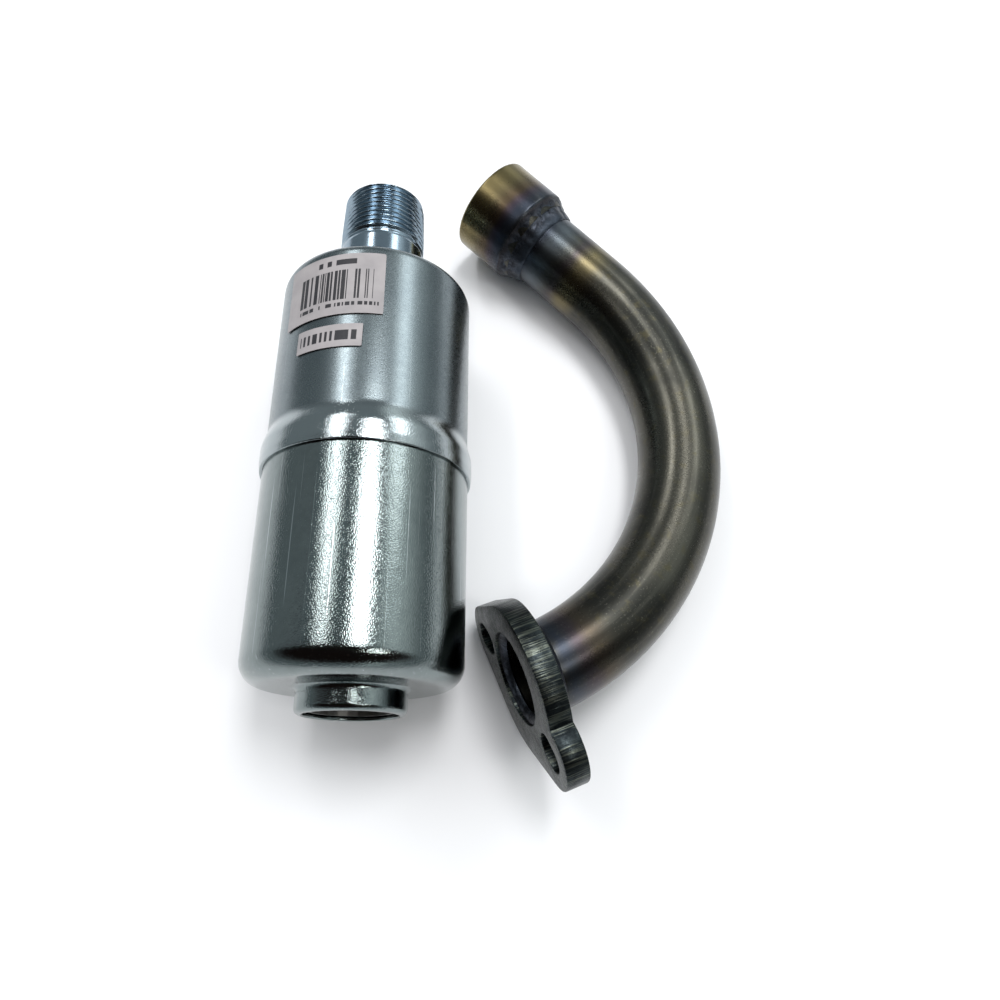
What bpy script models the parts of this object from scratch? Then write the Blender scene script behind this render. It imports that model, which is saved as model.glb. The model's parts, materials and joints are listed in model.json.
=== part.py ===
# Screw-on exhaust for a small kart engine: a mandrel-bent header with a slotted flange and a
# threaded coupling, and a two-shell canister muffler with a tapered pipe-thread nipple.
# Both lie side by side on a flat surface, unscrewed from each other. Metres, +Z up.

import math

import bmesh
import bpy
import numpy as np
from mathutils import Matrix, Vector

MM = 0.001

# gap kept between pieces that touch or nest
GAP = 0.3 * MM

# tapered pipe thread, 3/4 inch
THREAD_PITCH = 1.814 * MM
THREAD_DEPTH = 1.45 * MM
THREAD_TAPER = 1.0 / 32.0
PIPE_THREAD_RADIUS = 13.335 * MM
NIPPLE_TIP_RADIUS = 13.0 * MM
NIPPLE_BORE_RADIUS = 10.46 * MM
NIPPLE_THREADS = 11

# muffler, measured along its axis from the free edge of the skirt towards the nipple
SHEET = 0.8 * MM
OUTLET_SHELL_RADIUS = 28.95 * MM
INLET_SHELL_RADIUS = 28.75 * MM
INLET_END = 62.7 * MM
OUTLET_END = -57.8 * MM
SHOULDER_RADIUS = 3.2 * MM
HEEL_RADIUS = 6.1 * MM
SKIRT_LENGTH = 6.3 * MM
FLARE_LENGTH = 4.6 * MM
SHELL_OVERLAP = 5.2 * MM
NECK_RADIUS = 14.4 * MM
NECK_LENGTH = 6.7 * MM
NECK_FILLET = 1.6 * MM
LIP_RADIUS = 1.5 * MM
OUTLET_OPENING = 12.2 * MM
NIPPLE_LENGTH = 37.8 * MM
NIPPLE_INSIDE = 8.0 * MM
NIPPLE_WELD = 2.6 * MM

# inside the muffler
DIFFUSER_REACH = 45.0 * MM
DIFFUSER_WALL = 0.8 * MM
BAFFLE_PLACE = -3.0 * MM
BAFFLE_RIM = 5.0 * MM
BAFFLE_HOLES = 8
BAFFLE_HOLE_RADIUS = 3.0 * MM
BAFFLE_HOLE_CIRCLE = 19.0 * MM
OUTLET_TUBE_RADIUS = 11.4 * MM
OUTLET_TUBE_REACH = 32.0 * MM
PERFORATION_RADIUS = 2.2 * MM
PERFORATION_COLUMNS = 4
DIFFUSER_ROWS = 4
OUTLET_ROWS = 3

# paper labels on the inlet shell: along the axis, then round it from the top
LABEL_THICKNESS = 0.2 * MM
STOCK_LABEL_ALONG = (38.0 * MM, 58.2 * MM)
STOCK_LABEL_ROUND = (-41.5, 12.5)
SMALL_LABEL_ALONG = (27.7 * MM, 35.2 * MM)
SMALL_LABEL_ROUND = (-36.5, 2.5)

# header, in the plane of its bend with the bend's centre as origin
PIPE_RADIUS = 12.7 * MM
PIPE_WALL = 1.65 * MM
PIPE_DEBURR = 0.2 * MM
BEND_RADIUS = 79.5 * MM
BEND_START = 46.4
BEND_END = -68.95
FLANGE_SETBACK = 2.9 * MM
STRAIGHT_TO_FACE = 48.5 * MM
COUPLING_RADIUS = 16.5 * MM
COUPLING_LENGTH = 22.0 * MM
COUPLING_SHOULDER = 18.5 * MM
COUPLING_BACK_RADIUS = 14.8 * MM
COUPLING_SOCKET = 4.5 * MM
COUPLING_THREADS = 8
COUPLING_WELD = 4.4 * MM

FLANGE_THICKNESS = 6.6 * MM
FLANGE_BOSS_RADIUS = 21.8 * MM
FLANGE_OFFSET = 1.1 * MM
FLANGE_EDGE = 0.4 * MM
LUG_HALF_WIDTH = 9.9 * MM
LUG_PLACE = 21.1 * MM
LUG_ANGLES = (161.1, -40.9)
SLOT_WIDTH = 8.0 * MM
SLOT_LENGTH = 10.6 * MM
PIPE_RECESS = 3.0 * MM
FLANGE_WELD_LEG = 3.0 * MM
BORE_WELD_LEG = 1.9 * MM

# where the bend's centre lies beside the middle of the muffler's seam
HEADER_BESIDE = (16.7 * MM, 21.1 * MM)

SHELL_SEGMENTS = 40
THREAD_SEGMENTS = 32
TUBE_SEGMENTS = 24
BEND_STEPS = 22
HOLE_SEGMENTS = 8

for old in list(bpy.data.objects):
    bpy.data.objects.remove(old, do_unlink=True)


# ---- helpers ------------------------------------------------------------------------------

def finish(name, colour, roughness, metallic):
    material = bpy.data.materials.new(name)
    material.use_nodes = True
    shader = material.node_tree.nodes["Principled BSDF"]
    shader.inputs["Base Color"].default_value = (*colour, 1.0)
    shader.inputs["Roughness"].default_value = roughness
    shader.inputs["Metallic"].default_value = metallic
    return material


def holder(name, matrix, parent=None):
    empty = bpy.data.objects.new(name, None)
    bpy.context.scene.collection.objects.link(empty)
    empty.parent = parent
    empty.matrix_local = matrix
    return empty


def piece(name, bm, parent, material, smooth_angle=35.0):
    bmesh.ops.remove_doubles(bm, verts=bm.verts, dist=0.000002)
    bmesh.ops.recalc_face_normals(bm, faces=bm.faces)
    mesh = bpy.data.meshes.new(name)
    bm.to_mesh(mesh)
    bm.free()
    mesh.shade_smooth()
    mesh.set_sharp_from_angle(angle=math.radians(smooth_angle))
    obj = bpy.data.objects.new(name, mesh)
    bpy.context.scene.collection.objects.link(obj)
    obj.parent = parent
    if material:
        mesh.materials.append(material)
    return obj


def arc(centre, radius, start, end, steps):
    angles = np.radians(np.linspace(start, end, steps + 1))
    return [(centre[0] + radius * math.cos(a), centre[1] + radius * math.sin(a)) for a in angles]


def turn(outline, segments, start=0.0, sweep=360.0):
    # turns an outline of (radius, along) points about the local Y axis; start and sweep go
    # round from the local +Z side, and an outline from axis to axis makes a disc
    bm = bmesh.new()
    a = math.radians(start)
    verts = [bm.verts.new((r * math.sin(a), along, r * math.cos(a))) for r, along in outline]
    edges = [bm.edges.new(pair) for pair in zip(verts, verts[1:])]
    if outline[0][0] > 0.0:
        edges.append(bm.edges.new((verts[-1], verts[0])))
    full = abs(sweep) >= 360.0
    bmesh.ops.spin(bm, geom=verts + edges, cent=(0, 0, 0), axis=(0, 1, 0),
                   angle=math.radians(sweep), steps=segments, use_merge=full, use_duplicate=False)
    if not full:
        bmesh.ops.remove_doubles(bm, verts=bm.verts, dist=0.000002)
        bmesh.ops.holes_fill(bm, edges=bm.edges, sides=len(outline))
    return bm


def thread(face, into, crest, depth, count):
    # crests and roots of a tapered thread, going from the face along the sign of into;
    # crest is the crest radius at the face and depth is signed towards the roots
    points = []
    for k in range(count):
        run = (k + 0.5) * THREAD_PITCH
        crest_here = crest + THREAD_TAPER * run * (1.0 if depth < 0 else -1.0)
        points.append((crest_here, face + into * run))
        points.append((crest_here + depth, face + into * (run + 0.5 * THREAD_PITCH)))
    return points


def subtract(obj, bm, name):
    # cuts a bmesh out of an object and keeps the cutter as a hidden wire guide
    cutter = piece(name, bm, obj.parent, None)
    cutter.hide_render = True
    cutter.display_type = "WIRE"
    cut = obj.modifiers.new(name, "BOOLEAN")
    cut.operation = "DIFFERENCE"
    cut.solver = "EXACT"
    cut.object = cutter
    return cutter


def rod(bm, matrix, radius, length, segments):
    bmesh.ops.create_cone(bm, cap_ends=True, segments=segments, radius1=radius, radius2=radius,
                          depth=length, matrix=matrix)


def perforations(first, last, rows, reach):
    # rows of crossed rods that pierce both walls of a tube, each row turned half a step
    bm = bmesh.new()
    for row, along in enumerate(np.linspace(first, last, rows)):
        for column in range(PERFORATION_COLUMNS):
            angle = math.pi * (column + 0.5 * (row % 2)) / PERFORATION_COLUMNS
            matrix = Matrix.Translation((0, along, 0)) @ Matrix.Rotation(angle, 4, "Y")
            rod(bm, matrix, PERFORATION_RADIUS, 2.0 * reach, HOLE_SEGMENTS)
    return bm


def lumpy(bm, height, waves):
    # raises the outer skin of a weld bead in uneven ripples; only outward, so its seat stays
    for v in bm.verts:
        radius = math.hypot(v.co.x, v.co.z)
        angle = math.atan2(v.co.x, v.co.z)
        lift = 0.5 + 0.3 * math.sin(waves * angle) + 0.2 * math.sin(1.7 * waves * angle + 1.0)
        if v.tag and radius > 0.0:
            v.co.x *= 1.0 + height * lift / radius
            v.co.z *= 1.0 + height * lift / radius


# ---- finishes -----------------------------------------------------------------------------

satin_zinc = finish("satin_zinc", (0.50, 0.56, 0.60), 0.32, 1.0)
bright_zinc = finish("bright_zinc", (0.58, 0.63, 0.64), 0.16, 1.0)
plain_steel = finish("plain_steel", (0.35, 0.34, 0.33), 0.45, 1.0)
heat_steel = finish("heat_steel", (0.16, 0.145, 0.12), 0.38, 1.0)
weld_steel = finish("weld_steel", (0.10, 0.11, 0.13), 0.45, 1.0)
flange_steel = finish("flange_steel", (0.07, 0.08, 0.08), 0.42, 1.0)
label_paper = finish("label_paper", (0.72, 0.70, 0.70), 0.6, 0.0)


# ---- muffler ------------------------------------------------------------------------------

skirt_outer = OUTLET_SHELL_RADIUS + GAP + SHEET
rest_tilt = math.atan2(skirt_outer - INLET_SHELL_RADIUS, INLET_END - SHOULDER_RADIUS - SKIRT_LENGTH)
axis_height = skirt_outer * math.cos(rest_tilt) + SKIRT_LENGTH * math.sin(rest_tilt)
layout = holder("layout", Matrix.Identity(4))
muffler = holder("muffler", Matrix.Translation((0, 0, axis_height)) @ Matrix.Rotation(-rest_tilt, 4, "X"),
                 layout)


def inlet_outline():
    # from the nipple hole out over the shoulder, down to the flared skirt, and back inside
    hole = PIPE_THREAD_RADIUS + GAP
    centre = (INLET_SHELL_RADIUS - SHOULDER_RADIUS, INLET_END - SHOULDER_RADIUS)
    flare_end = SKIRT_LENGTH + FLARE_LENGTH
    grow = skirt_outer - INLET_SHELL_RADIUS
    steps = np.linspace(0.0, 1.0, 5)
    ease = [(t, 0.5 - 0.5 * math.cos(math.pi * t)) for t in steps]
    outer = [(hole, INLET_END)]
    outer += arc(centre, SHOULDER_RADIUS, 90, 0, 4)
    outer += [(INLET_SHELL_RADIUS + grow * e, flare_end - FLARE_LENGTH * t) for t, e in ease]
    outer += [(skirt_outer, 0.4 * MM), (skirt_outer - 0.3 * MM, 0.0)]
    inner = [(skirt_outer - SHEET, 0.0)]
    inner += [(INLET_SHELL_RADIUS - SHEET + grow * e, flare_end - FLARE_LENGTH * t + 0.1 * MM)
              for t, e in reversed(ease)]
    inner += arc(centre, SHOULDER_RADIUS - SHEET, 0, 90, 3)
    inner += [(hole, INLET_END - SHEET)]
    return outer + inner


def outlet_outline():
    # from the open edge down the wall, round the heel, along the end, down the neck to its
    # rolled-in lip, and back inside
    top = SHELL_OVERLAP
    end = OUTLET_END
    lip = end - NECK_LENGTH
    heel_centre = (OUTLET_SHELL_RADIUS - HEEL_RADIUS, end + HEEL_RADIUS)
    fillet_centre = (NECK_RADIUS + NECK_FILLET, end - NECK_FILLET)
    lip_centre = (NECK_RADIUS - LIP_RADIUS, lip + LIP_RADIUS)
    outer = [(OUTLET_SHELL_RADIUS, top)]
    outer += arc(heel_centre, HEEL_RADIUS, 0, -90, 5)
    outer += arc(fillet_centre, NECK_FILLET, 90, 180, 3)
    outer += arc(lip_centre, LIP_RADIUS, 0, -90, 3)
    outer += [(OUTLET_OPENING, lip)]
    inner = [(OUTLET_OPENING, lip + SHEET)]
    inner += arc(lip_centre, LIP_RADIUS - SHEET, -90, 0, 2)
    inner += arc(fillet_centre, NECK_FILLET + SHEET, 180, 90, 3)
    inner += arc(heel_centre, HEEL_RADIUS - SHEET, -90, 0, 4)
    inner += [(OUTLET_SHELL_RADIUS - SHEET, top)]
    return outer + inner


piece("inlet_shell", turn(inlet_outline(), SHELL_SEGMENTS), muffler, satin_zinc)
piece("outlet_shell", turn(outlet_outline(), SHELL_SEGMENTS), muffler, bright_zinc)

nipple_tip = INLET_END + NIPPLE_LENGTH
nipple_end = INLET_END - NIPPLE_INSIDE
nipple_outline = [(NIPPLE_BORE_RADIUS, nipple_end), (NIPPLE_BORE_RADIUS, nipple_tip)]
nipple_outline += [(NIPPLE_TIP_RADIUS - THREAD_DEPTH, nipple_tip)]
nipple_outline += [(min(r, PIPE_THREAD_RADIUS), along) for r, along in
                   thread(nipple_tip, -1.0, NIPPLE_TIP_RADIUS, -THREAD_DEPTH, NIPPLE_THREADS)]
nipple_outline += [(PIPE_THREAD_RADIUS, nipple_outline[-1][1] - 0.5 * THREAD_PITCH)]
nipple_outline += [(PIPE_THREAD_RADIUS, nipple_end)]
piece("inlet_nipple", turn(nipple_outline, THREAD_SEGMENTS), muffler, satin_zinc)


def bead(inner, foot, leg, along, direction):
    # weld fillet between a tube of radius inner and a face at along; direction is the side
    # of the face that it stands on, and the skin between its two toes is tagged
    skin = [(1.0, 0.0), (0.8, 0.45), (0.45, 0.8), (0.1, 1.0), (0.0, 1.0)]
    points = [(inner, along)] + [(inner + foot * r, along + direction * leg * a) for r, a in skin]
    bm = turn(points, TUBE_SEGMENTS)
    for v in bm.verts:
        v.tag = math.hypot(v.co.x, v.co.z) > inner + 0.3 * foot and abs(v.co.y - along) > 0.1 * leg
    return bm


nipple_bead = bead(PIPE_THREAD_RADIUS + GAP, NIPPLE_WELD, NIPPLE_WELD, INLET_END + GAP, 1.0)
lumpy(nipple_bead, 0.3 * MM, 9)
piece("nipple_weld", nipple_bead, muffler, satin_zinc)

# inlet diffuser: a perforated tube slipped over the nipple's inner end, closed by a cap
diffuser_inner = PIPE_THREAD_RADIUS + GAP
diffuser_outer = diffuser_inner + DIFFUSER_WALL
diffuser_top = INLET_END - SHEET - GAP
diffuser_end = diffuser_top - DIFFUSER_REACH
diffuser = piece("diffuser_tube", turn([
    (diffuser_inner, diffuser_top), (diffuser_outer, diffuser_top),
    (diffuser_outer, diffuser_end), (diffuser_inner, diffuser_end)], TUBE_SEGMENTS), muffler, plain_steel)
first_row = nipple_end - 2.5 * PERFORATION_RADIUS
last_row = diffuser_end + 4.0 * PERFORATION_RADIUS
pierced = perforations(first_row, last_row, DIFFUSER_ROWS, diffuser_outer + 2.0 * MM)
subtract(diffuser, pierced, "diffuser_holes")
cap_radius = diffuser_inner - GAP
cap_rim = 3.0 * MM
cap_inner = cap_radius - DIFFUSER_WALL
piece("diffuser_cap", turn([
    (0.0, diffuser_end), (cap_radius, diffuser_end), (cap_radius, diffuser_end + cap_rim),
    (cap_inner, diffuser_end + cap_rim), (cap_inner, diffuser_end + DIFFUSER_WALL),
    (0.0, diffuser_end + DIFFUSER_WALL)], TUBE_SEGMENTS), muffler, plain_steel)

# baffle: a dished plate across the outlet shell with a ring of transfer holes
baffle_radius = OUTLET_SHELL_RADIUS - SHEET - GAP
baffle = piece("baffle_plate", turn([
    (0.0, BAFFLE_PLACE), (baffle_radius, BAFFLE_PLACE), (baffle_radius, BAFFLE_PLACE + BAFFLE_RIM),
    (baffle_radius - SHEET, BAFFLE_PLACE + BAFFLE_RIM), (baffle_radius - SHEET, BAFFLE_PLACE + SHEET),
    (0.0, BAFFLE_PLACE + SHEET)], TUBE_SEGMENTS), muffler, plain_steel)
transfer = bmesh.new()
for hole in range(BAFFLE_HOLES):
    turned_to = Matrix.Rotation(2.0 * math.pi * hole / BAFFLE_HOLES, 4, "Y")
    place = Matrix.Translation((0, BAFFLE_PLACE, BAFFLE_HOLE_CIRCLE))
    upright = Matrix.Rotation(math.pi / 2, 4, "X")
    rod(transfer, turned_to @ place @ upright, BAFFLE_HOLE_RADIUS, 8.0 * SHEET, HOLE_SEGMENTS)
subtract(baffle, transfer, "baffle_holes")

# outlet tube: perforated, open at both ends, held in the neck
tube_low = OUTLET_END - NECK_LENGTH + SHEET + GAP
tube_high = OUTLET_END + OUTLET_TUBE_REACH
outlet_tube = piece("outlet_tube", turn([
    (OUTLET_TUBE_RADIUS, tube_low), (OUTLET_TUBE_RADIUS, tube_high),
    (OUTLET_TUBE_RADIUS - SHEET, tube_high), (OUTLET_TUBE_RADIUS - SHEET, tube_low)], TUBE_SEGMENTS),
    muffler, plain_steel)
first_row = OUTLET_END + 3.0 * PERFORATION_RADIUS
last_row = tube_high - 3.0 * PERFORATION_RADIUS
pierced = perforations(first_row, last_row, OUTLET_ROWS, OUTLET_TUBE_RADIUS + 2.0 * MM)
subtract(outlet_tube, pierced, "outlet_holes")


def label(name, along, around):
    low = INLET_SHELL_RADIUS + GAP
    high = low + LABEL_THICKNESS
    outline = [(low, along[0]), (high, along[0]), (high, along[1]), (low, along[1])]
    return piece(name, turn(outline, 8, around[0], around[1] - around[0]), muffler, label_paper)


label("stock_label", STOCK_LABEL_ALONG, STOCK_LABEL_ROUND)
label("small_label", SMALL_LABEL_ALONG, SMALL_LABEL_ROUND)


# ---- header -------------------------------------------------------------------------------

def on_bend(angle):
    a = math.radians(angle)
    return Vector((BEND_RADIUS * math.cos(a), BEND_RADIUS * math.sin(a), 0.0))


def along_bend(angle):
    a = math.radians(angle)
    return Vector((-math.sin(a), math.cos(a), 0.0))


def rest_attitude():
    # the header lies on its coupling's shoulder, its lower lug and the low side of its bend:
    # slopes of the bend's plane that put these three at their own heights
    shoulder = on_bend(BEND_START) + along_bend(BEND_START) * (STRAIGHT_TO_FACE - COUPLING_SHOULDER)
    foot = on_bend(BEND_END) + along_bend(BEND_END) * FLANGE_SETBACK
    lug_reach = LUG_HALF_WIDTH - LUG_PLACE * math.sin(math.radians(LUG_ANGLES[1]))
    low_side = Vector((1.0, 0.0))
    for _ in range(12):
        touch = low_side * BEND_RADIUS
        rows = [(shoulder.x, shoulder.y, 1.0), (foot.x, foot.y, 1.0), (touch.x, touch.y, 1.0)]
        slope_x, slope_y, height = np.linalg.solve(rows, (COUPLING_RADIUS, lug_reach, PIPE_RADIUS))
        low_side = Vector((-slope_x, -slope_y)).normalized()
    across = Vector((1.0, 0.0, slope_x)).normalized()
    up = Vector((-slope_x, -slope_y, 1.0)).normalized()
    turned_to = Matrix((across, up.cross(across), up)).transposed().to_4x4()
    return Matrix.Translation((*HEADER_BESIDE, height)) @ turned_to


def facing(origin, direction, side):
    # frame with local Y along direction and local X along side
    y = direction.normalized()
    x = side.normalized()
    return Matrix.Translation(origin) @ Matrix((x, y, x.cross(y))).transposed().to_4x4()


header = holder("header", rest_attitude(), layout)

to_coupling = along_bend(BEND_START)
face_place = on_bend(BEND_START) + to_coupling * STRAIGHT_TO_FACE
# coupling frame: local Y runs from the open face back towards the bend
coupling_frame = holder("coupling_frame", facing(face_place, -to_coupling, on_bend(BEND_START)), header)

out_of_flange = -along_bend(BEND_END)
# flange frame: local Y runs from the plate's back out of its mating face, local Z is upwards
flange_place = on_bend(BEND_END) - out_of_flange * FLANGE_SETBACK
flange_frame = holder("flange_frame", facing(flange_place, out_of_flange, -on_bend(BEND_END)), header)


def header_pipe():
    # two concentric rings swept round the bend, run out straight at both ends and closed
    into_socket = STRAIGHT_TO_FACE - COUPLING_LENGTH + COUPLING_SOCKET - GAP
    into_flange = FLANGE_THICKNESS - PIPE_RECESS - FLANGE_SETBACK
    bm = bmesh.new()
    section = facing(on_bend(BEND_START), to_coupling, on_bend(BEND_START))
    section = section @ Matrix.Rotation(math.pi / 2, 4, "X")
    for radius in (PIPE_RADIUS, PIPE_RADIUS - PIPE_WALL):
        bmesh.ops.create_circle(bm, segments=TUBE_SEGMENTS, radius=radius, matrix=section)
    start = list(bm.edges)
    swept = bmesh.ops.spin(bm, geom=list(bm.verts) + start, cent=(0, 0, 0), axis=(0, 0, 1),
                           angle=math.radians(BEND_END - BEND_START), steps=BEND_STEPS,
                           use_duplicate=False)
    last = [g for g in swept["geom_last"] if isinstance(g, bmesh.types.BMEdge)]
    for edges, offset in ((start, to_coupling * into_socket), (last, out_of_flange * into_flange)):
        grown = bmesh.ops.extrude_edge_only(bm, edges=edges)["geom"]
        verts = [g for g in grown if isinstance(g, bmesh.types.BMVert)]
        bmesh.ops.translate(bm, verts=verts, vec=offset)
        rim = [g for g in grown if isinstance(g, bmesh.types.BMEdge) and all(v in verts for v in g.verts)]
        centre = sum((v.co for v in verts), Vector()) / len(verts)
        inner = [v for v in verts if (v.co - centre).length < PIPE_RADIUS - 0.5 * PIPE_WALL]
        bmesh.ops.translate(bm, verts=inner, vec=-offset.normalized() * PIPE_DEBURR)
        bmesh.ops.bridge_loops(bm, edges=rim)
    return bm


piece("header_pipe", header_pipe(), header, heat_steel)

female_root = PIPE_THREAD_RADIUS
coupling_bore = PIPE_RADIUS - PIPE_WALL
socket_start = COUPLING_LENGTH - COUPLING_SOCKET
coupling_outline = [(PIPE_RADIUS + GAP, COUPLING_LENGTH), (COUPLING_BACK_RADIUS, COUPLING_LENGTH),
                    (COUPLING_RADIUS, COUPLING_SHOULDER), (COUPLING_RADIUS, 0.5 * MM),
                    (COUPLING_RADIUS - 0.5 * MM, 0.0), (female_root + 0.2 * MM, 0.0)]
coupling_outline += thread(0.0, 1.0, female_root - THREAD_DEPTH, THREAD_DEPTH, COUPLING_THREADS)
coupling_outline += [(coupling_bore, coupling_outline[-1][1] + 0.5 * THREAD_PITCH),
                     (coupling_bore, socket_start), (PIPE_RADIUS + GAP, socket_start)]
piece("coupling", turn(coupling_outline, THREAD_SEGMENTS), coupling_frame, heat_steel)

coupling_bead = bead(PIPE_RADIUS + GAP, COUPLING_BACK_RADIUS - PIPE_RADIUS - GAP, COUPLING_WELD,
                     COUPLING_LENGTH + GAP, 1.0)
lumpy(coupling_bead, 0.3 * MM, 7)
piece("coupling_weld", coupling_bead, coupling_frame, weld_steel)


def lug_outline():
    # round boss with two round-ended lugs. Straight sides run from lug to boss along their common
    # tangent, but the first lug's upper side leaves the boss in a sharp corner.
    # The outline stands a little off the bore, away from the bend's centre.
    corner = math.degrees(math.asin(LUG_HALF_WIDTH / FLANGE_BOSS_RADIUS))
    tangent = math.degrees(math.acos((FLANGE_BOSS_RADIUS - LUG_HALF_WIDTH) / LUG_PLACE))
    first, second = LUG_ANGLES[0], LUG_ANGLES[1] + 360.0
    lugs = [(first, first - 90.0, first + tangent), (second, second - tangent, second + tangent)]
    bosses = [(first + tangent, second - tangent), (second + tangent, first + 360.0 - corner)]
    points = []
    for (angle, start, end), (leave, meet) in zip(lugs, bosses):
        a = math.radians(angle)
        centre = (LUG_PLACE * math.cos(a), LUG_PLACE * math.sin(a))
        points += arc(centre, LUG_HALF_WIDTH, start, end, 10)
        points += arc((0.0, 0.0), FLANGE_BOSS_RADIUS, leave, meet, max(5, round(abs(meet - leave) / 8.0)))
    return [(x - FLANGE_OFFSET, z) for x, z in points]


def flange_plate():
    bm = bmesh.new()
    outline = [bm.verts.new((x, 0.0, z)) for x, z in lug_outline()]
    back = bm.faces.new(outline)
    grown = bmesh.ops.extrude_face_region(bm, geom=[back], use_keep_orig=True)["geom"]
    verts = [g for g in grown if isinstance(g, bmesh.types.BMVert)]
    bmesh.ops.translate(bm, verts=verts, vec=(0, FLANGE_THICKNESS, 0))
    bmesh.ops.recalc_face_normals(bm, faces=bm.faces)
    rims = [e for e in bm.edges if abs(e.verts[0].co.y - e.verts[1].co.y) < 0.01 * MM]
    bmesh.ops.bevel(bm, geom=rims, offset=FLANGE_EDGE, offset_type="OFFSET", segments=1, profile=0.5,
                    affect="EDGES", material=-1)
    return bm


def slot_cutter():
    # two rods and a block between them for each lug, long enough to pass the plate
    bm = bmesh.new()
    travel = 0.5 * (SLOT_LENGTH - SLOT_WIDTH)
    through = Matrix.Rotation(math.pi / 2, 4, "X")
    for angle in LUG_ANGLES:
        a = math.radians(angle)
        outline = arc((LUG_PLACE + travel, 0.0), 0.5 * SLOT_WIDTH, -90, 90, 8)
        outline += arc((LUG_PLACE - travel, 0.0), 0.5 * SLOT_WIDTH, 90, 270, 8)
        low = -FLANGE_THICKNESS
        verts = [bm.verts.new((x * math.cos(a) - z * math.sin(a) - FLANGE_OFFSET, low,
                               x * math.sin(a) + z * math.cos(a))) for x, z in outline]
        face = bm.faces.new(verts)
        grown = bmesh.ops.extrude_face_region(bm, geom=[face], use_keep_orig=True)["geom"]
        moved = [g for g in grown if isinstance(g, bmesh.types.BMVert)]
        bmesh.ops.translate(bm, verts=moved, vec=(0, 3.0 * FLANGE_THICKNESS, 0))
    rod(bm, through, PIPE_RADIUS + GAP, 6.0 * FLANGE_THICKNESS, 2 * TUBE_SEGMENTS)
    return bm


flange = piece("flange_plate", flange_plate(), flange_frame, flange_steel)
subtract(flange, slot_cutter(), "flange_cuts")

flange_bead = bead(PIPE_RADIUS + GAP, FLANGE_WELD_LEG, FLANGE_WELD_LEG, -GAP, -1.0)
lumpy(flange_bead, 0.4 * MM, 8)
piece("flange_weld", flange_bead, flange_frame, weld_steel)

bore_outer = PIPE_RADIUS
bore_start = FLANGE_THICKNESS - PIPE_RECESS + GAP
piece("bore_weld", turn([
    (bore_outer, bore_start), (bore_outer, bore_start + BORE_WELD_LEG),
    (bore_outer - 0.5 * BORE_WELD_LEG, bore_start + 0.75 * BORE_WELD_LEG),
    (bore_outer - 0.9 * BORE_WELD_LEG, bore_start + 0.3 * BORE_WELD_LEG),
    (bore_outer - BORE_WELD_LEG, bore_start)], TUBE_SEGMENTS), flange_frame, weld_steel)


# ---- origin: middle of the footprint, on the surface that the pieces lie on ---------------

bpy.context.view_layer.update()
solids = [obj for obj in bpy.data.objects if obj.type == "MESH" and not obj.hide_render]
corners = [obj.matrix_world @ v.co for obj in solids for v in obj.data.vertices]
low = Vector([min(c[i] for c in corners) for i in range(3)])
high = Vector([max(c[i] for c in corners) for i in range(3)])
layout.location = (-(low.x + high.x) / 2.0, -(low.y + high.y) / 2.0, -low.z)
bpy.context.view_layer.update()
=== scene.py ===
# Kart exhaust laid out unscrewed: a canister muffler beside its bent header
import json
import math

import bmesh
import bpy
from mathutils import Euler, Matrix, Vector, noise


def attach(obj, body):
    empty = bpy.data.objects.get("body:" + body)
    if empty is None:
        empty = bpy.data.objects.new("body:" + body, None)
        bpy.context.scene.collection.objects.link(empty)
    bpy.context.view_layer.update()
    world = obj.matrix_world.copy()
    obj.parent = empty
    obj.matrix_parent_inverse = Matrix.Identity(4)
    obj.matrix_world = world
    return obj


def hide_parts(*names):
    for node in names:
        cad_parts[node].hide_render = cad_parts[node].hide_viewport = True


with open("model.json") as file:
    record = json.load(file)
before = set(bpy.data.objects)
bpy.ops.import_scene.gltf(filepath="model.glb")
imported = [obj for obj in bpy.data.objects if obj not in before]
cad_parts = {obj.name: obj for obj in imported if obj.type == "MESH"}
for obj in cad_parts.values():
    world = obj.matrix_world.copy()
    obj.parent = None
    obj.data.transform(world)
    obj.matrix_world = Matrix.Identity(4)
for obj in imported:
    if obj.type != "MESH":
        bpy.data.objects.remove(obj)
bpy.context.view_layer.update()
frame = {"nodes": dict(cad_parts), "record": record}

mm = 0.001
mounts = {mount["name"]: mount for mount in frame["record"]["mounts"]}
print("frame loaded,", len(frame["nodes"]), "nodes")


# where the pieces lie: each frame has its local Y along the piece's own axis

def facing(origin, along, side):
    y = along.normalized()
    x = (side - y * side.dot(y)).normalized()
    return Matrix.Translation(origin) @ Matrix((x, y, x.cross(y))).transposed().to_4x4()


def mountAt(name):
    return Vector(mounts[name]["pos_m"]), Vector(mounts[name]["axis"]).normalized()


# millimetres from a mount's point, which lies on a rim, to where its piece is drawn from
mountOffsets = {
    "nippleRim": 11.0,            # up from the axis
    "nippleTip": 100.5,           # along the axis from the skirt's free edge
    "flangeRim": 18.0,
    "flangeThickness": 6.6,
    "couplingRim": 14.9,
}

tipPoint, mufflerAlong = mountAt("nipple_tip")
mufflerUp = Vector((1, 0, 0)).cross(mufflerAlong)
seam = (tipPoint - mufflerUp * mountOffsets["nippleRim"] * mm
        - mufflerAlong * mountOffsets["nippleTip"] * mm)
mufflerPlace = facing(seam, mufflerAlong, Vector((1, 0, 0)))    # origin at the skirt's free edge

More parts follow.
